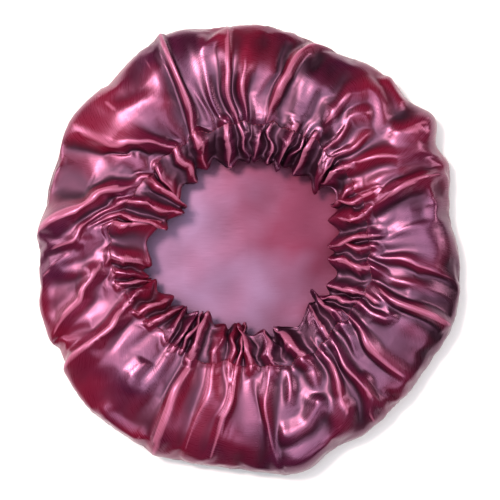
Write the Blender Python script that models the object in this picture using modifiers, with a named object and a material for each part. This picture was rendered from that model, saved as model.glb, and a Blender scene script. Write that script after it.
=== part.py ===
"""A satin sleep bonnet that lies on its crown, with its gathered mouth facing up.

The crown is one disc of satin: flat where it rests, rolled up at its outline, puffed over, and gathered
into a seam round the mouth. A folded casing of the same satin runs from that seam down to the rim of the
mouth, and a flat elastic ring lies inside the casing. Lengths are in metres and angles in degrees, counted
from +X towards +Y round the middle of the mouth. The tables hold shares of the named sizes.
"""

import math
from collections import namedtuple

import bmesh
import bpy
from mathutils import Vector

# Driving sizes
CROWN_RADIUS = 0.179  # middle of the mouth to the outline, on average
EDGE_ROLL = 0.007  # radius with which the satin turns up at the outline
PUFF_HEIGHT = 0.038  # the puffed ring, between the folds
SEAM_RADIUS = 0.1005  # gathering seam, on average
SEAM_HEIGHT = 0.034
CASING_WIDTH = 0.026  # seam to rim, seen from above, on average
CASING_DROP = 0.010  # seam down to rim, on average
FOLD_RISE = 0.011  # a full fold's crest above the puffed ring
SEAM_PUCKER = 0.0045  # a full fold's crest above the seam
RUFFLE = 0.0035  # how far a full ruffle lifts the casing's outer wall off the elastic
INNER_RUFFLE_SHARE = 0.6  # the inner wall's ruffles, as a share of the outer wall's
SCALLOP = 0.0040  # how far a ruffle carries the rim towards the middle
SATIN = 0.0012  # wall of every satin piece
ELASTIC_THICKNESS = 0.0012
ELASTIC_MARGIN = 0.0045  # elastic's edges to the seam and to the rim
CHANNEL_GAP = 0.0005  # elastic to the walls of the casing
SEAM_GAP = 0.0010  # crown's edge to the casing's edge

# How finely the satin is divided
COLUMNS_PER_FOLD = 3
ELASTIC_COLUMNS_PER_FOLD = 2
FLAT_SHARES = (0.45, 0.82)  # shares of the flat base's radius
ROLL_STEPS = 3
PUFF_SHARES = (0.12, 0.28, 0.46, 0.64, 0.82, 0.93)  # shares of the way from the outline to the seam
CASING_SHARES = (0, 0.33, 0.67, 1)  # shares of the way from the seam to the rim
CASING_TURN_STEPS = 2

# The satin's course over the puffed ring, as shares of the way from the outline to the seam
PUFF_CREST_SHARE = 0.50
EDGE_FADE_SHARE = 0.30  # folds die out over this share, towards the outline

Outline = namedtuple("Outline", "deg radius")
OUTLINE = [
    Outline(8, 0.929), Outline(22, 0.991), Outline(28, 0.977), Outline(35, 1.025),
    Outline(43, 0.993), Outline(55, 1.002), Outline(68, 0.971), Outline(80, 1.004),
    Outline(90, 1.020), Outline(99, 1.011), Outline(108, 1.043), Outline(120, 1.014),
    Outline(130, 0.984), Outline(143, 0.998), Outline(155, 0.973), Outline(170, 0.955),
    Outline(185, 0.961), Outline(201, 0.995), Outline(210, 0.992), Outline(222, 1.048),
    Outline(234, 1.043), Outline(248, 1.041), Outline(262, 1.025), Outline(270, 1.036),
    Outline(280, 1.057), Outline(293, 1.009), Outline(301, 1.014), Outline(316, 0.976),
    Outline(327, 0.988), Outline(339, 1.005), Outline(352, 0.980),
]

# Where the casing is steep it drops further and looks narrower from above
Mouth = namedtuple("Mouth", "deg seam_radius seam_height width drop")
MOUTH = [
    Mouth(0, 0.96, 0.96, 0.94, 1.0), Mouth(15, 0.97, 0.97, 0.70, 1.3), Mouth(30, 0.97, 0.98, 0.62, 1.3),
    Mouth(45, 0.98, 1.00, 0.79, 1.3), Mouth(60, 0.99, 1.00, 0.91, 1.1), Mouth(90, 0.99, 1.02, 1.12, 0.7),
    Mouth(110, 0.98, 1.02, 0.75, 1.3), Mouth(130, 0.98, 1.03, 1.02, 1.0), Mouth(150, 0.99, 1.06, 1.30, 0.6),
    Mouth(163, 1.05, 1.08, 1.28, 0.6), Mouth(177, 1.12, 1.08, 1.15, 0.8), Mouth(192, 1.09, 1.06, 0.82, 1.2),
    Mouth(210, 1.03, 1.03, 0.66, 1.3), Mouth(225, 0.98, 1.01, 0.85, 1.2), Mouth(245, 1.01, 1.00, 1.20, 0.6),
    Mouth(262, 0.95, 0.98, 0.90, 1.1), Mouth(280, 0.98, 0.97, 1.03, 0.9), Mouth(295, 1.00, 0.96, 0.86, 1.1),
    Mouth(320, 0.96, 0.95, 0.94, 1.0), Mouth(343, 1.01, 0.95, 1.00, 0.9),
]

# Each fold's crest: its angle at the seam, halfway out and at the outline, its rise as a share of
# FOLD_RISE, and how far it runs out from the seam, as a share of the way to the outline
Fold = namedtuple("Fold", "seam middle edge rise reach")
FOLDS = [
    Fold(3, 5, 6, 0.40, 0.90), Fold(10, 12, 12, 0.45, 0.35), Fold(17, 20, 17, 0.90, 0.85),
    Fold(27, 25, 24, 0.35, 0.50), Fold(41, 31, 28, 0.85, 0.80), Fold(46, 40, 36, 0.80, 0.95),
    Fold(52, 49, 48, 1.00, 0.80), Fold(59, 57, 54, 0.75, 0.95), Fold(68, 65, 58, 0.45, 0.40),
    Fold(82, 76, 62, 1.00, 1.00), Fold(87, 84, 80, 0.45, 0.80), Fold(91, 91, 92, 0.85, 0.75),
    Fold(95, 97, 97, 0.90, 0.90), Fold(101, 105, 102, 0.55, 0.85), Fold(106, 109, 110, 0.50, 0.45),
    Fold(117, 112, 114, 1.00, 1.00), Fold(122, 122, 124, 0.45, 0.90), Fold(127, 141, 149, 0.95, 1.00),
    Fold(138, 151, 158, 0.40, 0.25), Fold(151, 168, 179, 1.00, 1.00), Fold(160, 176, 190, 0.85, 1.00),
    Fold(170, 185, 198, 0.45, 0.25), Fold(181, 199, 208, 1.00, 1.00), Fold(193, 204, 214, 0.45, 0.25),
    Fold(206, 211, 222, 1.00, 1.00), Fold(216, 218, 228, 0.35, 0.45), Fold(226, 227, 233, 0.45, 0.35),
    Fold(235, 236, 238, 0.30, 0.50), Fold(243, 244, 243, 1.00, 1.00), Fold(253, 254, 255, 0.65, 1.00),
    Fold(263, 262, 260, 0.90, 0.85), Fold(271, 270, 268, 0.35, 0.35), Fold(279, 277, 275, 0.85, 1.00),
    Fold(288, 283, 281, 0.90, 0.75), Fold(298, 294, 288, 0.90, 0.80), Fold(304, 303, 295, 1.00, 0.95),
    Fold(312, 309, 305, 0.80, 1.00), Fold(319, 315, 313, 0.60, 0.40), Fold(325, 321, 321, 0.85, 0.80),
    Fold(333, 330, 327, 0.60, 0.45), Fold(343, 339, 333, 0.85, 0.95), Fold(350, 345, 340, 0.60, 0.80),
    Fold(356, 352, 352, 0.65, 0.95),
]

PLUM = (0.36, 0.07, 0.15, 1.0)
DEEP_PLUM = (0.30, 0.05, 0.12, 1.0)
WHITE_RUBBER = (0.80, 0.76, 0.74, 1.0)


def ease(share):
    """0 to 1 with no slope at either end."""
    share = min(max(share, 0.0), 1.0)
    return share * share * (3 - 2 * share)


def blend(first, last, share):
    return first + (last - first) * share


def round_the_ring(rows, column, deg):
    """A table's column at an angle, on a smooth closed curve through its rows."""
    deg %= 360
    after = next((i for i, row in enumerate(rows) if row.deg > deg), 0)
    four = [rows[(after + i) % len(rows)] for i in (-2, -1, 0, 1)]
    angles = [row.deg for row in four]
    values = [getattr(row, column) for row in four]
    for i in (1, 0):
        if angles[i] > angles[i + 1]:
            angles[i] -= 360
    for i in (2, 3):
        if angles[i] < angles[i - 1]:
            angles[i] += 360
    if deg < angles[1]:
        deg += 360
    elif deg > angles[2]:
        deg -= 360
    span = angles[2] - angles[1]
    share = (deg - angles[1]) / span
    slope_in = (values[2] - values[0]) / (angles[2] - angles[0]) * span
    slope_out = (values[3] - values[1]) / (angles[3] - angles[1]) * span
    return (
        values[1] * (1 + 2 * share) * (1 - share) ** 2
        + slope_in * share * (1 - share) ** 2
        + values[2] * share**2 * (3 - 2 * share)
        + slope_out * share**2 * (share - 1)
    )


def outline_radius(deg):
    return CROWN_RADIUS * round_the_ring(OUTLINE, "radius", deg)


def seam_place(deg):
    """(radius, height) of the gathering seam before its puckers."""
    radius = SEAM_RADIUS * round_the_ring(MOUTH, "seam_radius", deg)
    return radius, SEAM_HEIGHT * round_the_ring(MOUTH, "seam_height", deg)


def rim_place(deg):
    """(radius, height) of the rim of the mouth before its scallops."""
    radius, height = seam_place(deg)
    radius -= CASING_WIDTH * round_the_ring(MOUTH, "width", deg)
    return radius, height - CASING_DROP * round_the_ring(MOUTH, "drop", deg)


def crest_angle(fold, inward):
    """A fold's crest on its way in: 0 at the outline, 1 at the seam, a parabola through its three angles."""
    return (
        fold.edge * (1 - inward) * (1 - 2 * inward)
        + fold.middle * 4 * inward * (1 - inward)
        + fold.seam * inward * (2 * inward - 1)
    )


def neighbours(place):
    """The folds on both sides of a place, the turn that the second adds, and the share of the way between."""
    index = int(math.floor(place)) % len(FOLDS)
    following = (index + 1) % len(FOLDS)
    return FOLDS[index], FOLDS[following], 0 if following else 360, place - math.floor(place)


def angle_at(place, inward):
    """The angle of a thread of the cloth, which runs along the folds."""
    before, after, turn, share = neighbours(place)
    return blend(crest_angle(before, inward), crest_angle(after, inward) + turn, share)


def crest_shape(distance):
    """A fold's section: 1 on its crest, falling steeply and then levelling out half a fold away."""
    return max(0.0, 1 - 2 * distance) ** 1.5


def fold_height(place, inward):
    """Height of the folds as a share of a full fold, without the fading at the outline."""
    before, after, _, share = neighbours(place)
    height = 0.0
    for fold, distance in ((before, share), (after, 1 - share)):
        still_there = ease((inward - 1 + fold.reach) / (0.6 * fold.reach))
        height = max(height, fold.rise * still_there * crest_shape(distance))
    return height


def bezier(a, b, c, d, share):
    rest = 1 - share
    return a * rest**3 + 3 * b * rest**2 * share + 3 * c * rest * share**2 + d * share**3


def puffed_course(deg, inward):
    """(radius, height) of the satin between the outline and the seam, before its folds."""
    outer = outline_radius(deg)
    seam_radius, seam_height = seam_place(deg)
    top_radius = blend(outer, seam_radius, PUFF_CREST_SHARE)
    top = PUFF_HEIGHT
    if inward < PUFF_CREST_SHARE:
        share = inward / PUFF_CREST_SHARE
        radius = bezier(outer, outer, blend(outer, top_radius, 0.22), top_radius, share)
        lower, upper = (blend(EDGE_ROLL, top, rise) for rise in (0.35, 0.75))
        return radius, bezier(EDGE_ROLL, lower, upper, top, share)
    share = (inward - PUFF_CREST_SHARE) / (1 - PUFF_CREST_SHARE)
    radius = blend(top_radius, seam_radius, share)
    return radius, bezier(top, top, blend(seam_height, top, 0.45), seam_height, share)


def puff_point(place, inward):
    deg = angle_at(place, inward)
    radius, height = puffed_course(deg, inward)
    full = blend(FOLD_RISE, SEAM_PUCKER, ease((inward - 0.6) / 0.4))
    height += full * ease(inward / EDGE_FADE_SHARE) * fold_height(place, inward)
    return polar(deg, radius, height)


def polar(deg, radius, height):
    angle = math.radians(deg)
    return Vector((radius * math.cos(angle), radius * math.sin(angle), height))


def columns(per_fold):
    """Places round the mouth, counted in folds."""
    return [i / per_fold for i in range(len(FOLDS) * per_fold)]


def crown_rings():
    """Rings of points from the outline of the flat base to the seam, in the middle of the wall."""
    places = columns(COLUMNS_PER_FOLD)
    floor = SATIN / 2
    rings = []
    for share in FLAT_SHARES:
        ring = []
        for place in places:
            deg = angle_at(place, 0)
            ring.append(polar(deg, share * (outline_radius(deg) - EDGE_ROLL), floor))
        rings.append(ring)
    for step in range(ROLL_STEPS):
        turn = math.radians(90 * step / ROLL_STEPS)
        ring = []
        for place in places:
            deg = angle_at(place, 0)
            radius = outline_radius(deg) - EDGE_ROLL * (1 - math.sin(turn))
            ring.append(polar(deg, radius, floor + (EDGE_ROLL - floor) * (1 - math.cos(turn))))
        rings.append(ring)
    width = CROWN_RADIUS - SEAM_RADIUS
    last = 1 - SEAM_GAP / 2 / width
    for inward in (0, *PUFF_SHARES, last):
        rings.append([puff_point(place, inward) for place in places])
    return rings


def casing_frame(place):
    """Where the casing starts, the direction and length of its way to the rim, and the way out of its face."""
    deg = angle_at(place, 1)
    seam = polar(deg, *seam_place(deg))
    rim = polar(deg, *rim_place(deg))
    way = rim - seam
    sideways = polar(deg + 90, 1, 0)
    return seam, way.normalized(), way.length, sideways.cross(way).normalized()


def casing_rings():
    """Rings of points along the folded casing: down its outer wall, round the rim and back up inside."""
    room = ELASTIC_THICKNESS / 2 + CHANNEL_GAP + SATIN / 2
    sections = []
    for place in columns(COLUMNS_PER_FOLD):
        seam, along, length, out = casing_frame(place)
        ruffle = fold_height(place, 1)
        lift = RUFFLE * ruffle
        sag = RUFFLE * INNER_RUFFLE_SHARE * (1 - ruffle)
        last = length + SCALLOP * ruffle
        pucker = Vector((0, 0, SEAM_PUCKER * ruffle))
        section = []
        for share in CASING_SHARES:
            start = along * blend(SEAM_GAP / 2, last, share) + pucker * (1 - share)
            section.append(seam + start + out * (lift * share))
        middle = seam + along * last + out * ((lift - sag) / 2 - room)
        reach = room + (lift + sag) / 2
        for step in range(1, CASING_TURN_STEPS):
            turn = math.pi * step / CASING_TURN_STEPS
            section.append(middle + (out * math.cos(turn) + along * math.sin(turn)) * reach)
        bend = 0.7 * ELASTIC_MARGIN
        for share in reversed(CASING_SHARES[1:]):
            section.append(seam + along * blend(bend, last, share) - out * (2 * room + sag * share))
        section.append(seam + along * bend - out * (2 * room))
        section.append(seam + along * (SEAM_GAP / 2) - out * (SATIN + CHANNEL_GAP))
        sections.append(section)
    return [list(ring) for ring in zip(*sections)]


def elastic_rings():
    """The four long edges of the flat elastic ring, each a ring of points."""
    middle = ELASTIC_THICKNESS / 2 + CHANNEL_GAP + SATIN / 2
    sections = []
    for place in columns(ELASTIC_COLUMNS_PER_FOLD):
        seam, along, length, out = casing_frame(place)
        top = out * (ELASTIC_THICKNESS / 2 - middle)
        bottom = out * (-ELASTIC_THICKNESS / 2 - middle)
        first = seam + along * ELASTIC_MARGIN
        last = seam + along * (length - ELASTIC_MARGIN)
        sections.append((first + top, last + top, last + bottom, first + bottom))
    return [list(ring) for ring in zip(*sections)]


def loft(name, rings, centre=None, closed=False):
    """A mesh of quads between rings of points, with a fan to a centre point, or closed on itself."""
    mesh = bmesh.new()
    rows = [[mesh.verts.new(point) for point in ring] for ring in rings]
    size = len(rows[0])
    pairs = list(zip(rows, rows[1:] + rows[:1] if closed else rows[1:]))
    for lower, upper in pairs:
        for i in range(size):
            j = (i + 1) % size
            mesh.faces.new((lower[i], lower[j], upper[j], upper[i]))
    if centre is not None:
        pole = mesh.verts.new(centre)
        for i in range(size):
            mesh.faces.new((pole, rows[0][(i + 1) % size], rows[0][i]))
    bmesh.ops.recalc_face_normals(mesh, faces=mesh.faces)
    data = bpy.data.meshes.new(name)
    mesh.to_mesh(data)
    mesh.free()
    return bpy.data.objects.new(name, data)


def give_wall(piece):
    """Turns an open sheet into satin of its real thickness, half of it on each side."""
    wall = piece.modifiers.new("satin_wall", "SOLIDIFY")
    wall.thickness = SATIN
    wall.offset = 0
    wall.use_rim = True


def finish(piece, colour, roughness, sheen):
    material = bpy.data.materials.new(piece.name)
    material.use_nodes = True
    shader = material.node_tree.nodes["Principled BSDF"]
    shader.inputs["Base Color"].default_value = colour
    shader.inputs["Metallic"].default_value = 0.0
    shader.inputs["Roughness"].default_value = roughness
    shader.inputs["Sheen Weight"].default_value = sheen
    piece.data.materials.append(material)
    piece.data.shade_smooth()


def centre_on_floor(pieces):
    """Moves every piece alike, so that the bonnet's bounding box is centred over the origin."""
    points = [corner for piece in pieces for corner in (vertex.co for vertex in piece.data.vertices)]
    low = [min(point[axis] for point in points) for axis in (0, 1)]
    high = [max(point[axis] for point in points) for axis in (0, 1)]
    for piece in pieces:
        piece.location.x = -(low[0] + high[0]) / 2
        piece.location.y = -(low[1] + high[1]) / 2


def main():
    for old in list(bpy.data.objects):
        bpy.data.objects.remove(old, do_unlink=True)
    collection = bpy.data.collections.new("sleep_bonnet")
    bpy.context.scene.collection.children.link(collection)

    crown = loft("crown", crown_rings(), centre=Vector((0, 0, SATIN / 2)))
    give_wall(crown)
    finish(crown, PLUM, 0.35, 0.3)

    casing = loft("casing", casing_rings())
    give_wall(casing)
    finish(casing, DEEP_PLUM, 0.35, 0.3)

    elastic = loft("elastic", elastic_rings(), closed=True)
    finish(elastic, WHITE_RUBBER, 0.8, 0.0)

    pieces = [crown, casing, elastic]
    for piece in pieces:
        collection.objects.link(piece)
    centre_on_floor(pieces)


main()
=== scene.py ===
"""The looks of the satin sleep bonnet: it lies on its crown with its gathered mouth facing the camera."""
import math
from collections import namedtuple

import bpy
import numpy as np
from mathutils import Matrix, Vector


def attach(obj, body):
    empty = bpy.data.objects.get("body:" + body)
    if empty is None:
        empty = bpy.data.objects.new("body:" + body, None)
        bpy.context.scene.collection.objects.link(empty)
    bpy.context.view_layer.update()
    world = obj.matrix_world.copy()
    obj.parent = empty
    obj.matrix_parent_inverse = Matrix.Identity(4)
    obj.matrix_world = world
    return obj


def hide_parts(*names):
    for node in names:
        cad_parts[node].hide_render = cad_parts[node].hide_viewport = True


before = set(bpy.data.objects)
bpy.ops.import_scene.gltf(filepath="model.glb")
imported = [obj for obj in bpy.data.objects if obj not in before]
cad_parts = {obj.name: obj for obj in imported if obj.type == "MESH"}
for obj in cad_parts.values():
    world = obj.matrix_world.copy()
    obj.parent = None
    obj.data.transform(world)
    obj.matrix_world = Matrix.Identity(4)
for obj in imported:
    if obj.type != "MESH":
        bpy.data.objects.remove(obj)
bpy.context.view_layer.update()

# Sizes of the part, as in its source, in metres
CROWN_RADIUS = 0.179
EDGE_ROLL = 0.007
PUFF_HEIGHT = 0.038
SEAM_RADIUS = 0.1005
SEAM_HEIGHT = 0.034
CASING_WIDTH = 0.026
CASING_DROP = 0.010

# The cloth and its cuts, in metres
SATIN = 0.0009  # thickness
STRIP = (1.0, 0.060)  # the flat strip that the casing is folded from

# Folds and wrinkles of the crown, in metres
FOLD_RISE = 0.014  # the height of a full fold
SEAM_PUCKER = 0.0045  # the height of a full fold at the seam
GATHER = 0.0050  # height of the gathers beside the seam
RIPPLE = 0.0004
RIPPLE_WAVES = (17, 29, 47, 71)  # all round
WALL_CRUMPLE = 0.0014  # depth of the outer wall's folds
WALL_HOLLOW = 0.0016  # mean depth of its hollows near the floor
BASE_SWELL = 0.0030  # the middle of the base is off the floor
BASE_WAVE = 0.00022
SEAM_DIP = 0.0010
ALLOWANCE = ((-0.0006, 0.0012), (0.0006, 0.0034))  # the crown's cut edge: outward of the seam, and below it

# Waves round the ring: height, number of waves and phase. Those of the seam are in metres
SEAM_WANDER = ((0.0013, 19, 1), (0.0012, 31, 2.5), (0.0007, 53, 4))
RIM_WANDER = ((0.35, 7, 1), (0.30, 13, 4))
WALL_WAVES = ((1, 17, 2), (0.7, 37, 5), (1, 11, 0))
HOLLOW_WAVES = ((1, 9, 1), (0.8, 14, 4), (0.6, 23, 2))
PHASES = 6.28  # chance phases run from 0 to this, in radians

# Places on the way from the outline, 0, in to the seam, 1
PUFF_CREST = 0.50  # the puff is highest
EDGE_FADE = 0.30  # the folds have their full height
EDGE_SHARE = 0.10  # the share of it that they have at the outline
PUCKER_START = 0.60  # from here in, a full fold gets lower
WRINKLE_START = 0.20  # the wrinkles have their full height from here
WRINKLE_END = 0.85  # to here
CRUMPLE_END = 0.30
HOLLOW_END = 0.18

# The casing, in metres
RUFFLE = 0.0062  # height of its gathers
SCALLOP = 0.0052  # how far they carry the rim
BULGE = 0.0030
ROOM = 0.0016  # the casing's outer wall to the middle of the elastic
OVERLAP = 0.0012  # its outer wall starts this far outside the seam
EDGE_UNDER = 0.0008  # and this far below it
WALL_OVER = 0.0004  # its outer wall over the straight line from the seam to the rim
RIM_BEND = 0.002  # its walls stop this far before the rim, which is round
INNER_END = 0.003  # its inner wall ends this far before the seam
INNER_EDGE = 0.0005  # and its cut edge this far
INNER_GATHER = 0.45  # the height of its inner gathers, as a share of the outer ones
INNER_SHIFT = 2.1  # degrees from the outer gathers to the inner ones
PLEATS = 42  # gathers, all round
CALM = ((110, 158), (182, 252))  # degrees between which the gathers reach less far out of the seam

# The outer wall's painted shade near the floor, in metres
WALL_RADIUS = 0.14  # the wall lies farther out than this
WALL_SHADE = 0.024  # it darkens below this height
WALL_SHADE_FULL = 0.016  # this much lower its shade is full
WALL_DEEPER = 0.35  # the share that it is then deeper

# The seam's thread, in metres
THREAD = 0.00024  # radius
THREAD_LIFT = 0.00045  # off the middle of the satin
STITCH = 0.0024
STITCH_PITCH = 0.0034
# A stitch's course: share of its length, then its radius and height off the line as shares of THREAD
STITCH_PROFILE = (
    (0.0, 0.25, -0.5), (0.12, 0.8, 0.35), (0.5, 1.0, 0.75), (0.88, 0.8, 0.35), (1.0, 0.25, -0.5),
)

# The satin's colours, among them painted shade and painted highlight colours
WINE = (0.120, 0.004, 0.018, 1)
# painted shade of the outside, in its valleys and low on its outer wall
PAINTED_SHADE_WINE = (0.006, 0.0005, 0.0025, 1)
PLUM = (0.045, 0.004, 0.020, 1)
# painted highlight on the outside's sharp crests
PAINTED_HIGHLIGHT_PINK = (0.62, 0.20, 0.34, 1)
ROSE = (0.11, 0.002, 0.015, 1)
# painted shade of the inside, in its valleys
PAINTED_SHADE_ROSE = (0.06, 0.008, 0.02, 1)
# the inside's lighter tone in clouds, and also its painted light to the left and painted highlight on crests
MAUVE = (0.20, 0.14, 0.24, 1)
SHINE_TINT = (1.0, 0.45, 0.78, 1)

# The satin's pattern: the scales of its textures, on places in metres
CLOUDS = 16.0
BROAD_CLOUDS = 9.0
WEAVE = 320.0
SLUBS = (70.0, 1500.0, 1.0)

# The camera looks straight down, in metres
CAMERA_PLACE = (0.0, -0.0008, 1.12)
SEEN_WIDTH = 0.408  # the picture's width
SEEN_AT = 1.10  # at this distance
SENSOR = 36  # mm

# The outline: degrees from +X, and the share of CROWN_RADIUS
Outline = namedtuple("Outline", "deg radius")
OUTLINE = [
    Outline(8, 0.929), Outline(22, 0.991), Outline(28, 0.977), Outline(35, 1.025),
    Outline(43, 0.993), Outline(55, 1.002), Outline(68, 0.971), Outline(80, 1.004),
    Outline(90, 1.020), Outline(99, 1.011), Outline(108, 1.043), Outline(120, 1.014),
    Outline(130, 0.984), Outline(143, 0.998), Outline(155, 0.973), Outline(170, 0.955),
    Outline(185, 0.961), Outline(201, 0.995), Outline(210, 0.992), Outline(222, 1.048),
    Outline(234, 1.043), Outline(248, 1.041), Outline(262, 1.025), Outline(270, 1.036),
    Outline(280, 1.057), Outline(293, 1.009), Outline(301, 1.014), Outline(316, 0.976),
    Outline(327, 0.988), Outline(339, 1.005), Outline(352, 0.980),
]

# The mouth: degrees from +X, and shares of the seam's radius and height and of the casing's width and drop
Mouth = namedtuple("Mouth", "deg seam_radius seam_height width drop")
MOUTH = [
    Mouth(0, 0.96, 0.96, 0.94, 1.0), Mouth(15, 0.97, 0.97, 0.70, 1.3), Mouth(30, 0.97, 0.98, 0.62, 1.3),
    Mouth(45, 0.98, 1.00, 0.79, 1.3), Mouth(60, 0.99, 1.00, 0.91, 1.1), Mouth(90, 0.99, 1.02, 1.12, 0.7),
    Mouth(110, 0.98, 1.02, 0.75, 1.3), Mouth(130, 0.98, 1.03, 1.02, 1.0), Mouth(150, 0.99, 1.06, 1.30, 0.6),
    Mouth(163, 1.05, 1.08, 1.28, 0.6), Mouth(177, 1.12, 1.08, 1.15, 0.8), Mouth(192, 1.09, 1.06, 0.82, 1.2),
    Mouth(210, 1.03, 1.03, 0.66, 1.3), Mouth(225, 0.98, 1.01, 0.85, 1.2), Mouth(245, 1.01, 1.00, 1.20, 0.6),
    Mouth(262, 0.95, 0.98, 0.90, 1.1), Mouth(280, 0.98, 0.97, 1.03, 0.9), Mouth(295, 1.00, 0.96, 0.86, 1.1),
    Mouth(320, 0.96, 0.95, 0.94, 1.0), Mouth(343, 1.01, 0.95, 1.00, 0.9),
]

# The folds' crests: degrees at the seam, halfway and at the outline, the cube root of their share of a full
# rise, and the share of the way from the seam to the outline that they reach
Fold = namedtuple("Fold", "seam middle edge rise reach")
FOLDS = [
    Fold(3, 5, 6, 0.40, 0.90), Fold(10, 12, 12, 0.45, 0.35), Fold(17, 20, 17, 0.90, 0.85),
    Fold(27, 25, 24, 0.35, 0.50), Fold(41, 31, 28, 0.85, 0.80), Fold(46, 40, 36, 0.80, 0.50),
    Fold(52, 49, 48, 0.85, 0.40), Fold(59, 57, 54, 0.80, 0.45), Fold(68, 65, 58, 0.45, 0.40),
    Fold(82, 76, 62, 1.00, 1.00), Fold(87, 84, 80, 0.45, 0.80), Fold(91, 91, 92, 0.85, 0.75),
    Fold(95, 97, 97, 0.90, 0.90), Fold(101, 105, 102, 0.55, 0.85), Fold(106, 109, 110, 0.50, 0.45),
    Fold(117, 112, 114, 1.00, 1.00), Fold(122, 122, 124, 0.45, 0.90), Fold(127, 141, 149, 0.95, 1.00),
    Fold(138, 151, 158, 0.40, 0.25), Fold(151, 168, 179, 1.00, 1.00), Fold(160, 176, 190, 0.70, 0.75),
    Fold(170, 185, 198, 0.45, 0.25), Fold(181, 199, 208, 0.87, 1.00), Fold(193, 204, 214, 0.45, 0.25),
    Fold(206, 211, 222, 1.00, 1.00), Fold(216, 218, 228, 0.35, 0.45), Fold(226, 227, 233, 0.45, 0.35),
    Fold(235, 236, 238, 0.30, 0.50), Fold(243, 244, 243, 1.00, 1.00), Fold(253, 254, 255, 0.65, 1.00),
    Fold(263, 262, 260, 0.78, 0.85), Fold(271, 270, 268, 0.35, 0.35), Fold(279, 277, 275, 0.78, 0.90),
    Fold(288, 283, 281, 0.75, 0.45), Fold(298, 294, 288, 0.75, 0.40), Fold(304, 303, 295, 0.95, 0.60),
    Fold(312, 309, 305, 0.80, 1.00), Fold(319, 315, 313, 0.60, 0.40), Fold(325, 321, 321, 0.85, 0.80),
    Fold(333, 330, 327, 0.60, 0.45), Fold(343, 339, 333, 0.85, 0.95), Fold(350, 345, 340, 0.60, 0.80),
    Fold(356, 352, 352, 0.65, 0.95),
]

# Sharp creases on the puffed ring: height, half width, and points as (degrees, metres from the middle)
Crease = namedtuple("Crease", "height width points")
CREASES = [
    Crease(0.0022, 0.010, ((124, .168), (128, .161), (136, .168), (136, .163), (134, .150), (129, .144),
                           (124, .140), (120, .132), (115, .119))),
    Crease(0.0038, 0.011, ((53, .101), (53, .121), (52, .131), (49, .139), (46, .145))),
    Crease(0.0042, 0.012, ((59, .111), (58, .128), (56, .145), (53, .156), (50, .158), (47, .155),
                           (40, .140))),
    Crease(0.0042, 0.012, ((40, .140), (37, .150), (35, .162), (35, .172), (33, .168), (30, .161))),
    Crease(0.0036, 0.011, ((52, .176), (48, .171), (45, .168), (41, .166))),
    Crease(0.0026, 0.009, ((19, .118), (22, .132), (22, .144), (22, .156))),
    Crease(0.0034, 0.009, ((181, .139), (185, .154), (188, .164), (193, .170), (197, .174), (202, .172),
                           (206, .174), (209, .170))),
    Crease(0.0032, 0.009, ((226, .172), (230, .177), (234, .177), (239, .177), (243, .170))),
    Crease(0.0046, 0.013, ((303, .142), (300, .152), (296, .161), (291, .168), (284, .173), (276, .177))),
    Crease(0.0040, 0.011, ((295, .128), (293, .140), (288, .151), (282, .154), (278, .150))),
    Crease(0.0028, 0.007, ((337, .093), (337, .106), (337, .119), (334, .127), (332, .124), (331, .109))),
    Crease(0.0028, 0.009, ((313, .134), (309, .149), (306, .163), (305, .175))),
    Crease(0.0020, 0.008, ((79, .121), (78, .135), (77, .151), (75, .166))),
    Crease(0.0018, 0.006, ((102, .175), (103, .162), (99, .168), (97, .171))),
    Crease(0.0020, 0.009, ((231, .153), (228, .138), (228, .122))),
    Crease(0.0020, 0.010, ((20, .136), (19, .150), (13, .152), (5, .150))),
    Crease(0.0020, 0.009, ((344, .126), (342, .143), (338, .160), (337, .175))),
]

# Broad swells of the puffed ring, and hollows where the height is below 0: degrees, metres from the middle,
# half lengths round and outward, height
Swell = namedtuple("Swell", "deg radius round out height")
SWELLS = [
    Swell(129, 0.135, 0.028, 0.028, 0.0050), Swell(67, 0.134, 0.021, 0.021, 0.0045),
    Swell(98, 0.156, 0.016, 0.016, 0.0040), Swell(22, 0.119, 0.020, 0.020, 0.0050),
    Swell(35, 0.169, 0.015, 0.015, 0.0035), Swell(317, 0.167, 0.020, 0.020, 0.0050),
    Swell(284, 0.178, 0.021, 0.021, 0.0040), Swell(176, 0.145, 0.018, 0.018, 0.0040),
    Swell(216, 0.153, 0.016, 0.016, 0.0040), Swell(1, 0.153, 0.018, 0.018, 0.0035),
    Swell(257, 0.126, 0.015, 0.015, 0.0035), Swell(53, 0.143, 0.015, 0.015, 0.0030),
    Swell(118, 0.160, 0.020, 0.020, 0.0045), Swell(160, 0.150, 0.022, 0.024, -0.0050),
    Swell(112, 0.167, 0.013, 0.013, 0.0030), Swell(89, 0.145, 0.015, 0.015, 0.0035),
    Swell(196, 0.146, 0.018, 0.022, -0.0045), Swell(230, 0.138, 0.023, 0.023, 0.0040),
    Swell(247, 0.157, 0.018, 0.018, 0.0040), Swell(299, 0.150, 0.018, 0.018, 0.0045),
    Swell(47, 0.114, 0.013, 0.013, 0.0030), Swell(335, 0.147, 0.018, 0.018, 0.0030),
    Swell(329, 0.114, 0.016, 0.016, 0.0035), Swell(264, 0.154, 0.013, 0.013, 0.0030),
]

# How finely the sheets are divided
COLUMNS_PER_FOLD = 10
COLUMNS_PER_PLEAT = 10
BASE_ROWS = 20
ROLL_ROWS = 7
PUFF_ROWS = 70
WALL_ROWS = 16  # of the casing's outer wall
RIM_ROWS = 8  # round its rim, and as many down its inner wall

# Blender's settings for the satin as it settles
CLOTH = {
    "quality": 4, "mass": 0.02, "tension_stiffness": 8, "compression_stiffness": 8, "shear_stiffness": 3,
    "tension_damping": 5, "compression_damping": 5, "air_damping": 4, "pin_stiffness": 1,
}


def chance(number, salt=0.0):
    """A fixed irregular number from 0 to 1 for each whole number."""
    value = np.sin(np.asarray(number) * 12.9898 + salt * 78.233 + 0.5) * 43758.5453
    return value - np.floor(value)


def ease(share):
    share = np.clip(share, 0, 1)
    return share * share * (3 - 2 * share)


def blend(first, last, share):
    return first + (last - first) * share


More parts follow.
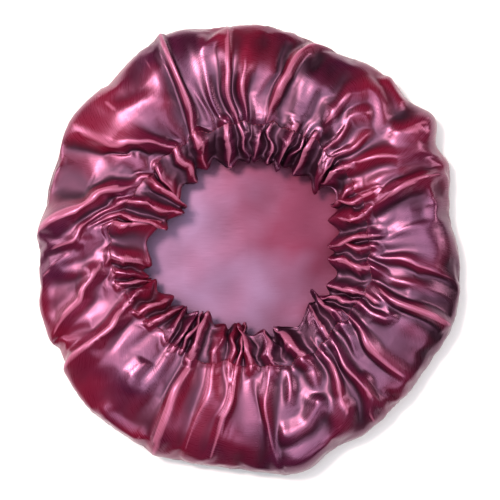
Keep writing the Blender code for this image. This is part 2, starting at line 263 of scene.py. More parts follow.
def round_the_ring(rows, column, deg):
    """A table's column at every angle, on a smooth closed curve through its rows."""
    angles = np.array([row.deg for row in rows], dtype=float)
    values = np.array([getattr(row, column) for row in rows], dtype=float)
    angles = np.concatenate((angles[-2:] - 360, angles, angles[:2] + 360))
    values = np.concatenate((values[-2:], values, values[:2]))
    slopes = np.zeros(len(values))
    slopes[1:-1] = (values[2:] - values[:-2]) / (angles[2:] - angles[:-2])
    deg = np.mod(deg, 360)
    index = np.clip(np.searchsorted(angles, deg, side="right") - 1, 0, len(angles) - 2)
    span = angles[index + 1] - angles[index]
    share = (deg - angles[index]) / span
    return (
        values[index] * (1 + 2 * share) * (1 - share) ** 2
        + slopes[index] * span * share * (1 - share) ** 2
        + values[index + 1] * share**2 * (3 - 2 * share)
        + slopes[index + 1] * span * share**2 * (share - 1)
    )


def waves(deg, parts):
    """The sum of several waves round the ring."""
    turn = np.radians(deg)
    return sum(height * np.sin(number * turn + phase) for height, number, phase in parts)


def outline_radius(deg):
    return CROWN_RADIUS * round_the_ring(OUTLINE, "radius", deg)


def seam_place(deg):
    """Radius and height of the seam, which wanders a little as it is gathered."""
    radius = SEAM_RADIUS * round_the_ring(MOUTH, "seam_radius", deg) + waves(deg, SEAM_WANDER)
    return radius, SEAM_HEIGHT * round_the_ring(MOUTH, "seam_height", deg)


def rim_place(deg):
    """Radius and height of the casing's rim, which doesn't follow the seam's wandering."""
    radius, height = seam_place(deg)
    radius = radius - waves(deg, SEAM_WANDER) - CASING_WIDTH * round_the_ring(MOUTH, "width", deg)
    return radius, height - CASING_DROP * round_the_ring(MOUTH, "drop", deg)


def fold_column(name):
    """A column of FOLDS, with the first fold once more at the end."""
    values = [getattr(fold, name) for fold in FOLDS]
    turn = 360 if name in ("seam", "middle", "edge") else 0
    return np.array(values + [values[0] + turn], dtype=float)


SEAM, MIDDLE, EDGE = fold_column("seam"), fold_column("middle"), fold_column("edge")
RISE, REACH = fold_column("rise"), fold_column("reach")

# Each fold sways by a third of the room to its nearer neighbour, 3.5 degrees at most
ROOM_AFTER = np.minimum(np.diff(MIDDLE), np.diff(EDGE))
SWAY = np.minimum(0.33 * np.minimum(ROOM_AFTER, np.roll(ROOM_AFTER, 1)), 3.5)
SWAY = np.append(SWAY, SWAY[0])


def crest_angle(index, inward):
    """Degrees of a fold's crest: a curve through its three angles, with a sway that fades at both ends."""
    sway = SWAY[index] * np.sin(2 * np.pi * (0.95 * inward + chance(index % len(FOLDS), 30)))
    return (
        EDGE[index] * (1 - inward) * (1 - 2 * inward)
        + MIDDLE[index] * 4 * inward * (1 - inward)
        + SEAM[index] * inward * (2 * inward - 1)
        + sway * ease((1 - inward) / 0.35) * ease(inward / 0.15)
    )


def angle_at(place, inward):
    """Degrees of a place in the folds' count: whole numbers lie on the crests."""
    index = np.floor(place).astype(int) % len(FOLDS)
    return blend(crest_angle(index, inward), crest_angle(index + 1, inward), place - np.floor(place))


def flank(distance, reach, sharpness=1.5, rounding=0.07):
    """A fold's section: steep from a tight crest, then down into a round valley, reach away."""
    slope = (np.sqrt((distance / reach) ** 2 + rounding**2) - rounding) / (1 - rounding * 0.9)
    return np.maximum(0, 1 - slope) ** sharpness


def fold_height(place, inward):
    """Height of the folds as a share of a full fold, without the fading at the outline."""
    index = np.floor(place).astype(int) % len(FOLDS)
    share = place - np.floor(place)
    valley = 0.5 + 0.56 * (chance(index, 4) - 0.5)
    height = np.zeros(np.broadcast(place, inward).shape)
    for fold, distance, reach in ((index, share, valley), (index + 1, 1 - share, 1 - valley)):
        still_there = ease((inward - 1 + REACH[fold]) / (0.6 * REACH[fold]))
        waver = 1 + 0.22 * np.sin(2 * np.pi * (1.4 * inward + chance(fold % len(FOLDS), 31)))
        height = height + RISE[fold] ** 3 * waver * still_there * flank(distance, reach)
    return height


# The gathers at the seam: their crests wander from an even spacing, and each has its own size
PLEAT_NUMBER = np.arange(PLEATS + 1)
PLEAT_WIDTH = 0.40 + 1.50 * chance(PLEAT_NUMBER % PLEATS, 7) ** 1.3
PLEAT_CREST = np.concatenate(([0.0], np.cumsum(PLEAT_WIDTH[:-1]))) * 360 / PLEAT_WIDTH[:-1].sum()
PLEAT_RISE = 0.30 + 0.55 * chance(PLEAT_NUMBER % PLEATS, 8) + 0.25 * PLEAT_WIDTH
PLEAT_REACH = 0.10 + 0.22 * chance(PLEAT_NUMBER % PLEATS, 9)
for calm_from, calm_to in CALM:
    PLEAT_REACH[(PLEAT_CREST > calm_from) & (PLEAT_CREST < calm_to)] *= 0.45
PLEAT_LEAN = 16.0 * (chance(PLEAT_NUMBER % PLEATS, 10) - 0.5)  # degrees round the seam
PLEAT_CURL = 0.0075 * (chance(PLEAT_NUMBER % PLEATS, 13) - 0.5)  # metres sideways


def pleat_at(thread):
    """The gather before each thread, counted from +X, and the share of the way to the next."""
    thread = np.mod(thread, 360)
    index = np.clip(np.searchsorted(PLEAT_CREST, thread, side="right") - 1, 0, PLEATS - 1)
    return index, (thread - PLEAT_CREST[index]) / (PLEAT_CREST[index + 1] - PLEAT_CREST[index])


def pleat_height(thread, out):
    """Height of the gathers as a share of a full one; out is 0 at the seam and 1 at the outline."""
    index, share = pleat_at(thread)
    valley = 0.5 + 0.3 * (chance(index, 11) - 0.5)
    height = np.zeros(np.broadcast(thread, out).shape)
    for pleat, distance, reach in ((index, share, valley), (index + 1, 1 - share, 1 - valley)):
        fade = 1 - ease(out / PLEAT_REACH[pleat])
        height = height + PLEAT_RISE[pleat] * fade * flank(distance, reach, sharpness=1.4, rounding=0.22)
    return height


def rim_lobes(thread):
    """How far the gathers carry the rim inward, as a share of a full one, in lobes of uneven size."""
    index, share = pleat_at(thread)
    lobe = 0.5 + 0.5 * np.cos(2 * np.pi * share)
    size = blend(PLEAT_RISE[index], PLEAT_RISE[index + 1], ease(share))
    return lobe * size + waves(thread, RIM_WANDER)


def bezier(a, b, c, d, share):
    rest = 1 - share
    return a * rest**3 + 3 * b * rest**2 * share + 3 * c * rest * share**2 + d * share**3


def puffed_course(deg, inward):
    """Radius and height of the satin between the outline and the seam, before its folds."""
    outer = outline_radius(deg)
    seam_radius, seam_height = seam_place(deg)
    top_radius = blend(outer, seam_radius, PUFF_CREST)
    top = PUFF_HEIGHT
    out = np.clip(inward / PUFF_CREST, 0, 1)
    radius_out = bezier(outer, outer, blend(outer, top_radius, 0.15), top_radius, out ** 1.1)
    lower, upper = blend(EDGE_ROLL, top, 0.60), blend(EDGE_ROLL, top, 0.92)
    height_out = bezier(EDGE_ROLL, lower, upper, top, out ** 1.1)
    back = np.clip((inward - PUFF_CREST) / (1 - PUFF_CREST), 0, 1)
    radius_in = blend(top_radius, seam_radius, back)
    height_in = bezier(top, top, blend(seam_height, top, 0.45), seam_height, back)
    far = inward < PUFF_CREST
    return np.where(far, radius_out, radius_in), np.where(far, height_out, height_in)


def polar(deg, radius, height):
    angle = np.radians(deg)
    height = np.broadcast_to(height, np.broadcast(deg, radius, height).shape)
    radius = np.broadcast_to(radius, height.shape)
    return np.stack((radius * np.cos(angle), radius * np.sin(angle), height), axis=-1)


def ripples(deg, inward):
    """Small wrinkles along the folds, in metres."""
    height = 0
    turn = np.radians(deg)
    for number, count in enumerate(RIPPLE_WAVES):
        phase = PHASES * chance(number, 5) + 9 * (chance(number, 6) - 0.5) * inward
        beat = 0.5 + 0.5 * np.sin(turn * (3 + number) + PHASES * chance(number, 12) + 4 * inward)
        height = height + beat * np.sin(turn * count + phase) * RIPPLE / (1 + 0.3 * number)
    return height


def from_crease(points, x, y):
    """Distance of every place from a broken line, and the share of its length where it is nearest."""
    nearest = np.full(x.shape, np.inf)
    along = np.zeros(x.shape)
    corners = [(r * math.cos(math.radians(d)), r * math.sin(math.radians(d))) for d, r in points]
    for number, ((x0, y0), (x1, y1)) in enumerate(zip(corners, corners[1:])):
        dx, dy = x1 - x0, y1 - y0
        share = np.clip(((x - x0) * dx + (y - y0) * dy) / (dx * dx + dy * dy), 0, 1)
        distance = np.hypot(x - x0 - share * dx, y - y0 - share * dy)
        closer = distance < nearest
        nearest = np.where(closer, distance, nearest)
        along = np.where(closer, (number + share) / (len(corners) - 1), along)
    return nearest, along


def crease_height(deg, radius):
    """Height of the creases and swells at every place, in metres."""
    x, y = radius * np.cos(np.radians(deg)), radius * np.sin(np.radians(deg))
    height = np.zeros(x.shape)
    for crease in CREASES:
        distance, along = from_crease(crease.points, x, y)
        ends = ease(along / 0.18) * ease((1 - along) / 0.18)
        # 0 at the rounded crest, 1 at the half width
        slope = (np.sqrt((distance / crease.width) ** 2 + 0.012) - 0.11) / 0.89
        height = np.maximum(height, crease.height * ends * np.maximum(0, 1 - slope) ** 1.3)
    for swell in SWELLS:
        turn = np.radians(swell.deg)
        round_way = (y * np.cos(turn) - x * np.sin(turn)) / swell.round
        out_way = (x * np.cos(turn) + y * np.sin(turn) - swell.radius) / swell.out
        height = height + swell.height * np.exp(-(round_way**2) - out_way**2)
    return height


def wall_folds(deg):
    """Shallow upright folds of the outer wall, from 0 inwards to about -1."""
    return -(np.abs(waves(deg, WALL_WAVES)) ** 0.7) / 2


def low_hollows(deg):
    """Broad hollows of the outer wall near the floor, in metres."""
    highest = sum(height for height, _, _ in HOLLOW_WAVES)
    return WALL_HOLLOW * (1 + waves(deg, HOLLOW_WAVES) / highest)


def puff_points(place, inward):
    """One ring of the puffed top: its folds and wrinkles stand square on the satin's course."""
    deg = angle_at(place, inward)
    step = 0.01
    radius, height = puffed_course(deg, inward)
    radius_on, height_on = puffed_course(deg, min(inward + step, 1.0))
    radius_back, height_back = puffed_course(deg, max(inward - step, 0.0))
    run, climb = radius_back - radius_on, height_on - height_back
    size = np.hypot(run, climb)
    outward, upward = climb / size, run / size
    full = blend(FOLD_RISE, SEAM_PUCKER, ease((inward - PUCKER_START) / (1 - PUCKER_START)))
    on_top = ease(inward / WRINKLE_START) * ease((1 - inward) / (1 - WRINKLE_END))
    rise = full * blend(EDGE_SHARE, 1, ease(inward / EDGE_FADE)) * fold_height(place, inward)
    rise = rise + (ripples(deg, inward) + crease_height(deg, radius)) * on_top
    rise = FOLD_RISE * np.tanh(rise / FOLD_RISE)
    rise = rise + WALL_CRUMPLE * wall_folds(deg) * (1 - ease(inward / CRUMPLE_END))
    rise = rise - low_hollows(deg) * math.sin(math.pi * min(inward / HOLLOW_END, 1)) ** 2
    gather = GATHER * pleat_height(angle_at(place, 1.0), 1 - inward)
    return polar(deg, radius + rise * outward, height + rise * upward + gather - seam_dip(1 - inward))


def seam_dip(out):
    """The groove of the gathering seam, in metres."""
    return SEAM_DIP * np.exp(-((out / 0.035) ** 2))


def places():
    """The crown's columns as places in the folds' count."""
    return np.arange(len(FOLDS) * COLUMNS_PER_FOLD) / COLUMNS_PER_FOLD


def crown_points():
    """The satin of the crown as rings of points, from the middle of the base to the seam."""
    place = places()
    floor = SATIN / 2
    rings = []
    deg = angle_at(place, 0.0)
    flat = outline_radius(deg) - EDGE_ROLL
    for row in range(1, BASE_ROWS):
        ring = polar(deg, flat * row / BASE_ROWS, floor)
        ring[:, 2] += base_height(ring) * ease((1 - row / BASE_ROWS) / 0.3)
        rings.append(ring)
    crumple = WALL_CRUMPLE * wall_folds(deg)
    for row in range(ROLL_ROWS):
        turn = math.radians(90 * row / ROLL_ROWS)
        rise = floor + (EDGE_ROLL - floor) * (1 - math.cos(turn))
        rings.append(polar(deg, flat + (EDGE_ROLL + crumple) * math.sin(turn), rise))
    # the puff's rows lie closer together towards the seam
    for row in range(PUFF_ROWS + 1):
        rings.append(puff_points(place, (row / PUFF_ROWS) ** 0.9))
    edge = rings[-1]
    way = edge * np.array((1, 1, 0)) / np.linalg.norm(edge[:, :2], axis=1)[:, None]
    for outward, below in ALLOWANCE:
        rings.append(edge + way * outward - np.array((0, 0, below)))
    return np.array(rings)


def base_height(points):
    """The bottom of the bag lies in low, broad waves on the floor."""
    x, y = points[:, 0], points[:, 1]
    height = BASE_SWELL * np.exp(-(((x + 0.022) / 0.075) ** 2) - ((y - 0.004) / 0.085) ** 2)
    for number in range(7):
        turn = PHASES * chance(number, 21)
        wave = 95 + 80 * chance(number, 22)
        way = x * math.cos(turn) + y * math.sin(turn)
        height = height + BASE_WAVE * (1 + np.sin(way * wave + PHASES * chance(number, 23)))
    return height


def casing_frame(place):
    """The seam's points, the way and the distance from there to the rim, and the way out of the wall."""
    deg = angle_at(place, 1.0)
    seam = polar(deg, *seam_place(deg))
    rim = polar(deg, *rim_place(deg))
    way = rim - seam
    length = np.linalg.norm(way, axis=-1, keepdims=True)
    out = np.cross(polar(deg + 90, 1.0, 0.0), way)
    return seam, way / length, length, out / np.linalg.norm(out, axis=-1, keepdims=True)


def thread_place(thread):
    """The place in the folds' count where threads of the cloth cross the seam, given their degrees there."""
    crests = np.array([angle_at(np.array(float(i)), 1.0) for i in range(len(FOLDS))] + [SEAM[0] + 360.0])
    thread = np.mod(thread - crests[0], 360) + crests[0]
    return np.interp(thread, crests, np.arange(len(crests)))


def curled(way):
    """How far sideways the gathers curl on the way from the seam to the rim, as a share of their most."""
    return math.sin(1.6 * math.pi * way) ** 2


def casing_points():
    """The folded casing as rings, and each point's way off the elastic inside it.

    The rings run down its outer wall, round the rim and back up inside.
    """
    number = np.arange(PLEATS * COLUMNS_PER_PLEAT)
    index, share = number // COLUMNS_PER_PLEAT, number % COLUMNS_PER_PLEAT / COLUMNS_PER_PLEAT
    thread = blend(PLEAT_CREST[index], PLEAT_CREST[index + 1], share)
    place = thread_place(thread)
    seam, along, length, out = casing_frame(place)
    sideways = np.cross(out, along)
    fold = fold_height(place, 1.0)[:, None]
    ruffle = pleat_height(thread, 0.0)[:, None]
    inner = pleat_height(thread + INNER_SHIFT, 0.0)[:, None]
    sag = RUFFLE * INNER_GATHER * (1 - inner)
    last = length + SCALLOP * rim_lobes(thread)[:, None] - RIM_BEND
    pucker = np.array((0, 0, 1.0)) * (SEAM_PUCKER * fold + GATHER * ruffle)
    dip = np.array((0, 0, 1.0)) * SEAM_DIP
    lean = np.radians(blend(PLEAT_LEAN[index], PLEAT_LEAN[index + 1], share))[:, None] * SEAM_RADIUS
    curl = blend(PLEAT_CURL[index], PLEAT_CURL[index + 1], share)[:, None]
    rings = []
    for row in range(WALL_ROWS + 1):
        way = row / WALL_ROWS
        bulge = math.sin(math.pi * min(1, way * 1.1)) * BULGE
        puffed = RUFFLE * ruffle * (0.25 + 0.75 * math.sin(math.pi * min(0.5, way * 0.8)))
        ring = seam + along * blend(-OVERLAP, last, way) + out * blend(-EDGE_UNDER, WALL_OVER, ease(way * 8))
        ring = ring + (pucker - dip) * (1 - ease(way * 1.6))
        ring = ring + out * (puffed * ease(way * 3) + bulge * (0.2 + 0.8 * ruffle))
        ring = ring + sideways * (lean * ease(way) * 0.5 + curl * curled(way))
        rings.append(ring)
    lift = RUFFLE * ruffle
    bent = sideways * (lean * 0.5 + curl * curled(1))
    middle = seam + along * last + out * ((lift - sag) / 2 - ROOM) + bent
    reach = ROOM + (lift + sag) / 2
    ahead = 0.9 * ROOM + 0.18 * (reach - ROOM)
    for step in range(1, RIM_ROWS):
        turn = math.pi * step / RIM_ROWS
        rings.append(middle + out * math.cos(turn) * reach + along * math.sin(turn) * ahead)
    for row in range(RIM_ROWS, -1, -1):
        way = row / RIM_ROWS
        rings.append(seam + along * blend(INNER_END, last, way) - out * (2 * ROOM + sag * way) + bent * way)
    rings.append(seam + along * INNER_EDGE - out * ROOM)
    away = [out] * (WALL_ROWS + 1) + [along] * (RIM_ROWS - 1) + [-out] * (RIM_ROWS + 2)
    return np.array(rings), np.array([np.broadcast_to(way, out.shape) for way in away])


def centre_offset(points):
    """What brings the bonnet's outline over the origin, as in the part."""
    flat = points.reshape(-1, 3)
    return -(flat.min(axis=0) + flat.max(axis=0)) / 2 * np.array((1, 1, 0))


def loft(name, rings, cut, pole=None):
    """A mesh between closed rings of points, with a fan to a pole.

    cut is where each point lies in the flat cloth, and it is kept as the mesh's map.
    """
    rows, columns = rings.shape[:2]
    points = rings.reshape(-1, 3)
    faces = []
    for row in range(rows - 1):
        here, there = row * columns, (row + 1) * columns
        for i in range(columns):
            j = (i + 1) % columns
            faces.append((here + i, here + j, there + j, there + i))
    if pole is not None:
        points = np.vstack((points, [pole]))
        for i in range(columns):
            faces.append((len(points) - 1, (i + 1) % columns, i))
    data = bpy.data.meshes.new(name)
    data.from_pydata(points.tolist(), [], faces)
    data.update()
    data.shade_smooth()
    corners = np.empty(len(data.loops), dtype=int)
    data.loops.foreach_get("vertex_index", corners)
    flat = np.vstack((cut.reshape(-1, 2), [(0, 0)]))[corners]
    data.uv_layers.new(name="cut").data.foreach_set("uv", flat.reshape(-1))
    piece = bpy.data.objects.new(name, data)
    bpy.context.scene.collection.objects.link(piece)
    return piece


def give_wall(piece):
    """Gives the sheet the satin's thickness, with its second material on the inner side."""
    wall = piece.modifiers.new("wall", "SOLIDIFY")
    wall.thickness = SATIN
    wall.offset = 0
    wall.material_offset = 1


def disc_cut(rings, deg):
    """Where each point of the crown lies in its flat disc, in metres."""
    steps = np.linalg.norm(np.diff(rings, axis=0), axis=2).mean(axis=1)
    way = np.concatenate(([0], np.cumsum(steps))) + np.linalg.norm(rings[0, :, :2], axis=1).mean()
    turn = np.radians(deg)
    return way[:, None, None] * np.stack((np.cos(turn), np.sin(turn)), axis=-1)


def strip_cut(rings):
    """Where each point of the casing lies in its flat strip, in metres."""
    steps = np.linalg.norm(np.diff(rings, axis=0), axis=2).mean(axis=1)
    across = np.concatenate(([0], np.cumsum(steps)))
    along = np.arange(rings.shape[1]) / rings.shape[1] * STRIP[0]
    return np.stack(np.broadcast_arrays(along[None, :], across[:, None]), axis=-1)


def points_of(data):
    """The points of a mesh, one in each row."""
    points = np.empty(len(data.vertices) * 3)
    data.vertices.foreach_get("co", points)
    return points.reshape(-1, 3)


def spread(values, rows, columns):
    """Each value averaged with its neighbours, on a grid that closes on itself across its columns."""
    for axis, reach in ((0, rows), (1, columns)):
        total = np.zeros(values.shape)
        for step in range(-reach, reach + 1):
            if axis:
                total += np.roll(values, step, axis=1)
            else:
                total += values[np.clip(np.arange(len(values)) + step, 0, len(values) - 1)]
        values = total / (2 * reach + 1)
    return values


def mark_relief(piece, rows, columns, reach, depth, crest, painted_extra_shade=0.0):
    """Keeps on the mesh how deep in a valley each point lies and how sharp its crest is, from 0 to 1, for
    painted shade and a painted highlight.

    A point is compared with the mean height of those within reach, in rows and columns. depth and crest are
    the metres that count as 1. The outer wall gets more painted shade the nearer it is to the floor, and any
    extra painted shade that is given is added all over.
    """
    points = points_of(piece.data)
    grid = points[:rows * columns].reshape(rows, columns, 3)
    height = grid[..., 2]
    on_wall = np.hypot(grid[..., 0], grid[..., 1]) > WALL_RADIUS
    # painted shade low on the outer wall, near the floor
    low_wall = ease((WALL_SHADE - height) / WALL_SHADE_FULL) * on_wall
    below = (spread(height, *reach) - height) / depth + WALL_DEEPER * low_wall + painted_extra_shade
    above = (height - spread(height, 0, 2)) / crest
    rest = len(points) - height.size
    # valley carries painted shade and crest a painted highlight into the satin's colour
    for name, values, plain in (("valley", 0.5 + below, 0.5), ("crest", above, 0.0)):
        values = np.append(np.clip(values, 0, 1).reshape(-1), np.full(rest, plain))
        piece.data.attributes.new(name, "FLOAT", "POINT").data.foreach_set("value", values)


def settle(piece, held, slack, stiffness, frames, furthest, away=None):
    """Lets the cloth buckle into its own wrinkles: slack is the share that it has to spare.

    held is, for each point, how firmly it stays in place, and no point moves more than furthest.
    away is, for each point, the way off what the cloth covers, which it doesn't sink into.
    """
    pins = piece.vertex_groups.new(name="held")
    for weight in sorted(set(held.tolist())):
        pins.add(np.nonzero(held == weight)[0].tolist(), weight, "REPLACE")
    start = points_of(piece.data)
    cloth = piece.modifiers.new("cloth", "CLOTH")
    for name, value in CLOTH.items():
        setattr(cloth.settings, name, value)
    cloth.settings.vertex_group_mass = "held"
    cloth.settings.bending_stiffness = stiffness
    cloth.settings.shrink_min = -slack
    cloth.settings.effector_weights.gravity = 0
    cloth.collision_settings.use_collision = False
    cloth.point_cache.frame_start = 1
    cloth.point_cache.frame_end = frames
    for frame_number in range(1, frames + 1):
        bpy.context.scene.frame_set(frame_number)
    graph = bpy.context.evaluated_depsgraph_get()
    move = points_of(piece.evaluated_get(graph).data) - start
    piece.modifiers.remove(cloth)
    piece.vertex_groups.remove(pins)
    bpy.context.scene.frame_set(1)
    length = np.linalg.norm(move, axis=1, keepdims=True)
    move *= np.minimum(1, furthest / np.maximum(length, 1e-9))
    if away is not None:
        move -= away * np.minimum(0, (move * away).sum(axis=1))[:, None]
    piece.data.vertices.foreach_set("co", (start + move).reshape(-1))
    piece.data.update()


class Nodes:
    """Short calls for building one material."""

    def __init__(self, name):
        self.material = bpy.data.materials.new(name)
        self.material.use_nodes = True
        self.tree = self.material.node_tree
        self.shader = self.tree.nodes["Principled BSDF"]

    def add(self, kind, settings=None, **inputs):
        node = self.tree.nodes.new(kind)
        for name, value in (settings or {}).items():
            setattr(node, name, value)
        for name, value in inputs.items():
            self.put(node.inputs[name.replace("_", " ")], value)
        return node

    def put(self, socket, value):
        if isinstance(value, bpy.types.NodeSocket):
            self.tree.links.new(value, socket)
        else:
            socket.default_value = value

    def math(self, operation, first, second):
        node = self.tree.nodes.new("ShaderNodeMath")
        node.operation = operation
        for socket, value in zip(node.inputs, (first, second)):
            self.put(socket, value)
        return node.outputs[0]

    def mix(self, share, first, second):
        node = self.tree.nodes.new("ShaderNodeMix")
        node.data_type = "RGBA"
        for socket, value in ((node.inputs[0], share), (node.inputs[6], first), (node.inputs[7], second)):
            self.put(socket, value)
        return node.outputs[2]

    def ranged(self, value, low, high, start=0.0, end=1.0):
        node = self.add("ShaderNodeMapRange")
        for socket, part in zip(node.inputs, (value, low, high, start, end)):
            self.put(socket, part)
        return node.outputs[0]


def seam_stitches(name, line, up):
    """Small stitches along a closed line of points on the cloth, in one mesh; up is the way off the cloth."""
    closed = np.vstack((line, line[:1]))
    lift = np.vstack((up, up[:1]))
    way = np.concatenate(([0], np.cumsum(np.linalg.norm(np.diff(closed, axis=0), axis=1))))
    count = int(way[-1] / STITCH_PITCH)
    points, faces = [], []
    sides = 5
    last = len(STITCH_PROFILE) - 1
    for number in range(count):
        start = way[-1] * number / count
        first = len(points)
        spots = [start + share * STITCH for share, _, _ in STITCH_PROFILE]
        centres = np.stack([np.interp(spots, way, closed[:, axis]) for axis in range(3)], axis=1)
        raised = np.stack([np.interp(spots, way, lift[:, axis]) for axis in range(3)], axis=1)
        for spot, (_, size, height) in enumerate(STITCH_PROFILE):
            along = centres[min(spot + 1, last)] - centres[max(spot - 1, 0)]
            along /= np.linalg.norm(along)
            above = raised[spot] - along * np.dot(raised[spot], along)
            above /= np.linalg.norm(above)
            beside = np.cross(along, above)
            for side in range(sides):
                turn = 2 * math.pi * side / sides
                ring = above * math.cos(turn) + beside * math.sin(turn)
                points.append(centres[spot] + above * height * THREAD + ring * size * THREAD)
        for spot in range(last):
            for side in range(sides):
                here, there = first + spot * sides, first + (spot + 1) * sides
                beyond = (side + 1) % sides
                faces.append((here + side, here + beyond, there + beyond, there + side))
        faces.append([first + side for side in reversed(range(sides))])
        faces.append([first + last * sides + side for side in range(sides)])
    data = bpy.data.meshes.new(name)
    data.from_pydata(np.array(points).tolist(), [], faces)
    data.update()
    data.shade_smooth()
    piece = bpy.data.objects.new(name, data)
    bpy.context.scene.collection.objects.link(piece)
    return piece


def thread_material():
    make = Nodes("thread")
    place = make.add("ShaderNodeTexCoord").outputs["Object"]
    twist = make.add("ShaderNodeTexNoise", Vector=place, Scale=2500.0, Detail=1.0).outputs["Fac"]
    colour = make.mix(twist, (0.10, 0.006, 0.018, 1), (0.30, 0.035, 0.085, 1))
    make.put(make.shader.inputs["Base Color"], colour)
    bump = make.add("ShaderNodeBump", Strength=0.4, Distance=0.0001, Height=twist).outputs[0]
    make.put(make.shader.inputs["Normal"], bump)
    make.shader.inputs["Roughness"].default_value = 0.5
    return make.material


def elastic_material():
    """Flat braided elastic: fine ribs round the ring, slightly soiled."""
    make = Nodes("braided_elastic")
    place = make.add("ShaderNodeTexCoord").outputs["Object"]
    ribs = make.add("ShaderNodeTexWave", {"wave_type": "RINGS", "rings_direction": "Z"}, Vector=place,
                    Scale=260.0, Distortion=1.0, Detail=1.0).outputs["Fac"]
    cloud = make.add("ShaderNodeTexNoise", Vector=place, Scale=60.0, Detail=3.0).outputs["Fac"]
    shade = make.math("MULTIPLY", make.math("ADD", ribs, cloud), 0.5)
    make.put(make.shader.inputs["Base Color"], make.mix(shade, (0.55, 0.50, 0.48, 1), (0.80, 0.77, 0.74, 1)))
    make.put(make.shader.inputs["Roughness"], make.ranged(cloud, 0.3, 0.7, 0.75, 0.9))
    bump = make.add("ShaderNodeBump", Strength=0.5, Distance=0.0003, Height=ribs).outputs[0]
    make.put(make.shader.inputs["Normal"], bump)
    return make.material


def shot_colour(make, place, wine, plum, across, spread_out):
    """One colour shot through with another, in clouds, and with painted light, lighter to the left, where
    across is above 0.
    """
    clouds = make.add("ShaderNodeTexNoise", Vector=place, Scale=CLOUDS, Detail=2.0).outputs["Fac"]
    if across:
        parts = make.add("ShaderNodeSeparateXYZ", Vector=place).outputs
        side = make.math("ADD", parts["X"], make.math("MULTIPLY", parts["Y"], 0.45))
        clouds = make.math("SUBTRACT", clouds, make.math("MULTIPLY", side, across))
    return make.mix(make.ranged(clouds, 0.5 - spread_out, 0.52 + spread_out), wine, plum)


def painted_valley_shade(make, place, valley, slubs, patchy):
    """Painted darkness, from 0 to 1: painted shade in the valleys and broad patches, a little in the slubs.
    """
    broad = make.add("ShaderNodeTexNoise", Vector=place, Scale=BROAD_CLOUDS, Detail=1.0).outputs["Fac"]
    broad = make.math("MULTIPLY", make.math("SUBTRACT", broad, 0.5), patchy)
    depth = make.math("ADD", make.math("ADD", valley, broad), make.math("MULTIPLY", slubs, 0.10))
    return make.ranged(depth, 0.42, 0.95)


def weave_bump(make, cut, slubs):
    bands = []
    for direction in ("X", "Y"):
        band = make.add("ShaderNodeTexWave", {"bands_direction": direction}, Vector=cut, Scale=WEAVE,
                        Distortion=1.5, Detail=1.0)
        bands.append(band.outputs["Fac"])
    weave = make.math("MULTIPLY", bands[0], bands[1])
    height = make.math("ADD", make.math("MULTIPLY", weave, 0.35), slubs)
    return make.add("ShaderNodeBump", Strength=0.12, Distance=0.0004, Height=height).outputs[0]


def satin(name, wine, deep, plum, painted_highlight_colour, roughness, gloss, across=0.0, spread_out=0.12, patchy=1.4):
    """Satin that is shot with plum, with painted shade between its folds and a painted highlight on their
    crests, and with a fine weave and long slubs.
    """
    make = Nodes(name)
    cut = make.add("ShaderNodeUVMap", {"uv_map": "cut"}).outputs[0]
    place = make.add("ShaderNodeTexCoord").outputs["Object"]
    valley = make.add("ShaderNodeAttribute", {"attribute_name": "valley"}).outputs["Fac"]
    crest = make.add("ShaderNodeAttribute", {"attribute_name": "crest"}).outputs["Fac"]
    stretched = make.add("ShaderNodeMapping", Vector=cut, Scale=SLUBS).outputs[0]
    slubs = make.add("ShaderNodeTexNoise", Vector=stretched, Scale=1.0, Detail=2.0).outputs["Fac"]
    shot = shot_colour(make, place, wine, plum, across, spread_out)
    # painted shade in the valleys and in broad patches
    shade = painted_valley_shade(make, place, valley, slubs, patchy)
    # painted highlight along the sharpest crests
    painted_highlight = make.math("MULTIPLY", make.ranged(crest, 0.7, 1.0), 0.40)
    colour = make.mix(painted_highlight, make.mix(shade, shot, deep), painted_highlight_colour)
    rough = make.ranged(slubs, 0.3, 0.7, roughness - 0.05, roughness + 0.05)
    rough = make.math("ADD", rough, make.ranged(valley, 0.5, 1.0, 0.0, 0.2))
    bump = weave_bump(make, cut, slubs)
    for socket, value in (("Base Color", colour), ("Roughness", rough), ("Normal", bump)):
        make.put(make.shader.inputs[socket], value)
    for socket, value in (("Metallic", 0.0), ("IOR", 1.7), ("Specular IOR Level", gloss),
                          ("Specular Tint", SHINE_TINT)):
        make.shader.inputs[socket].default_value = value
    return make.material


def make_crown(rings, offset):
    """The crown's satin: it settles, except where it lies on the floor and at the seam."""
    rows, columns = rings.shape[:2]
    middle = np.array((0, 0, SATIN / 2 + base_height(np.zeros((1, 3)))[0]))
    cut = disc_cut(rings, angle_at(places(), 0.0))
    piece = loft("crown_satin", rings + offset, cut, pole=offset + middle)
    row = np.repeat(np.arange(rows), columns)
    free = ease((row - BASE_ROWS - ROLL_ROWS) / 14) * ease((rows - 4 - row) / 8)
    held = np.append(np.round(1 - free, 2), 1.0)
    settle(piece, held, slack=0.015, stiffness=2.0, frames=10, furthest=0.0025)
    # painted shade in the valleys and a painted highlight on sharp crests
    mark_relief(piece, rows, columns, reach=(6, 6), depth=0.006, crest=0.0009)
    return piece


def make_casing(rings, away):
    """The casing's satin: it settles, except at the seam, and stays off the elastic."""
    rows, columns = rings.shape[:2]
    piece = loft("casing_satin", rings, strip_cut(rings))
    row = np.repeat(np.arange(rows), columns)
    free = ease((row - 1) / 5) * ease((rows - 4 - row) / 6)
    held = np.round(1 - free, 2)
    settle(piece, held, slack=0.11, stiffness=0.15, frames=14, furthest=0.005, away=away.reshape(-1, 3))
    # painted shade in the casing's valleys, and some more painted shade all over it
    mark_relief(piece, rows, columns, reach=(2, 6), depth=0.006, crest=0.0011, painted_extra_shade=0.18)
    return piece


def make_stitches(rings):
    """The thread in the seam, along the casing's second ring."""
    up = rings[0] - rings[-1]
    line = rings[1] + THREAD_LIFT * up / np.linalg.norm(up, axis=1, keepdims=True)
    piece = seam_stitches("seam_stitches", line, up)
    piece.data.materials.append(thread_material())
    return piece


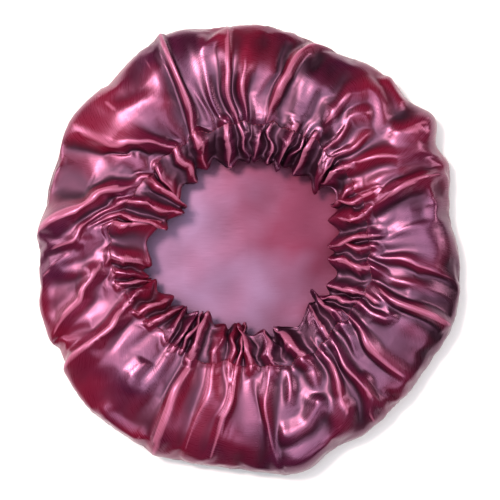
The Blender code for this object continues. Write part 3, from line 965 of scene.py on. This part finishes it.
# The floor, the lights, the world and the camera
def make_floor(reach=3):
    """A white floor, reach metres each way."""
    data = bpy.data.meshes.new("floor")
    corners = [(-reach, -reach, 0), (reach, -reach, 0), (reach, reach, 0), (-reach, reach, 0)]
    data.from_pydata(corners, [], [(0, 1, 2, 3)])
    piece = bpy.data.objects.new("floor", data)
    bpy.context.scene.collection.objects.link(piece)
    material = bpy.data.materials.new("floor")
    material.use_nodes = True
    shader = material.node_tree.nodes["Principled BSDF"]
    shader.inputs["Base Color"].default_value = (0.97, 0.97, 0.97, 1)
    shader.inputs["Roughness"].default_value = 0.9
    data.materials.append(material)
    return piece


def area_light(name, place, target, size, power, colour):
    data = bpy.data.lights.new(name, "AREA")
    data.shape = "RECTANGLE"
    data.size, data.size_y = size
    data.energy = power
    data.color = colour
    light = bpy.data.objects.new(name, data)
    light.location = place
    light.rotation_euler = (Vector(target) - Vector(place)).to_track_quat("-Z", "Y").to_euler()
    bpy.context.scene.collection.objects.link(light)


def set_world(strength):
    world = bpy.data.worlds.new("studio")
    bpy.context.scene.world = world
    world.use_nodes = True
    background = world.node_tree.nodes["Background"]
    background.inputs["Color"].default_value = (0.9, 0.92, 1.0, 1)
    background.inputs["Strength"].default_value = strength


def set_camera():
    """A camera that looks straight down."""
    data = bpy.data.cameras.new("camera")
    data.sensor_width = SENSOR
    data.lens = SENSOR * SEEN_AT / SEEN_WIDTH
    camera = bpy.data.objects.new("camera", data)
    camera.location = CAMERA_PLACE
    bpy.context.scene.collection.objects.link(camera)
    bpy.context.scene.camera = camera


# The satin and its thread
crown_rings = crown_points()
offset = centre_offset(crown_rings)
crown = make_crown(crown_rings, offset)
casing_rings, casing_away = casing_points()
casing = make_casing(casing_rings + offset, casing_away)

# painted shade in the valleys and broad patches, and a painted pink highlight on the crests
outside = satin("satin_outside", WINE, PAINTED_SHADE_WINE, PLUM, PAINTED_HIGHLIGHT_PINK, roughness=0.29, gloss=0.67)
# the inside: painted lighter to the left, as if lit from there, with painted shade and a mauve painted
# highlight
inside = satin("satin_inside", ROSE, PAINTED_SHADE_ROSE, MAUVE, MAUVE, roughness=0.5, gloss=0.43, across=5.0,
               spread_out=0.24, patchy=0.0)
for piece, node in ((crown, "crown"), (casing, "casing")):
    give_wall(piece)
    piece.data.materials.append(outside)
    piece.data.materials.append(inside if node == "crown" else outside)
    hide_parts(node)
    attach(piece, "root")

stitches = make_stitches(casing_rings + offset)
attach(stitches, "root")

# The elastic keeps the part's own mesh
for material_slot in bpy.data.objects["elastic"].material_slots:
    material_slot.material = elastic_material()

floor = make_floor()

# Each light's place, target, size, watts and colour
area_light("overhead", (-0.16, 0.10, 1.6), (0, 0, 0), (1.3, 1.3), 21, (0.93, 0.96, 1.0))
area_light("key", (-0.40, 0.32, 1.25), (0, 0, 0.03), (0.25, 0.25), 18.5, (1.0, 0.76, 0.70))
area_light("fill", (0.55, -0.50, 0.9), (0.1, -0.1, 0), (0.5, 0.5), 2.2, (1.0, 0.9, 0.95))
area_light("window_left", (-1.0, 0.35, 0.45), (0, 0, 0.03), (0.3, 0.5), 5, (1.0, 0.85, 0.85))
area_light("window_right", (1.0, 0.25, 0.7), (0, 0, 0.03), (0.3, 0.5), 4, (1.0, 0.85, 0.8))
set_world(0.04)
set_camera()
bpy.context.scene.view_settings.view_transform = "Standard"
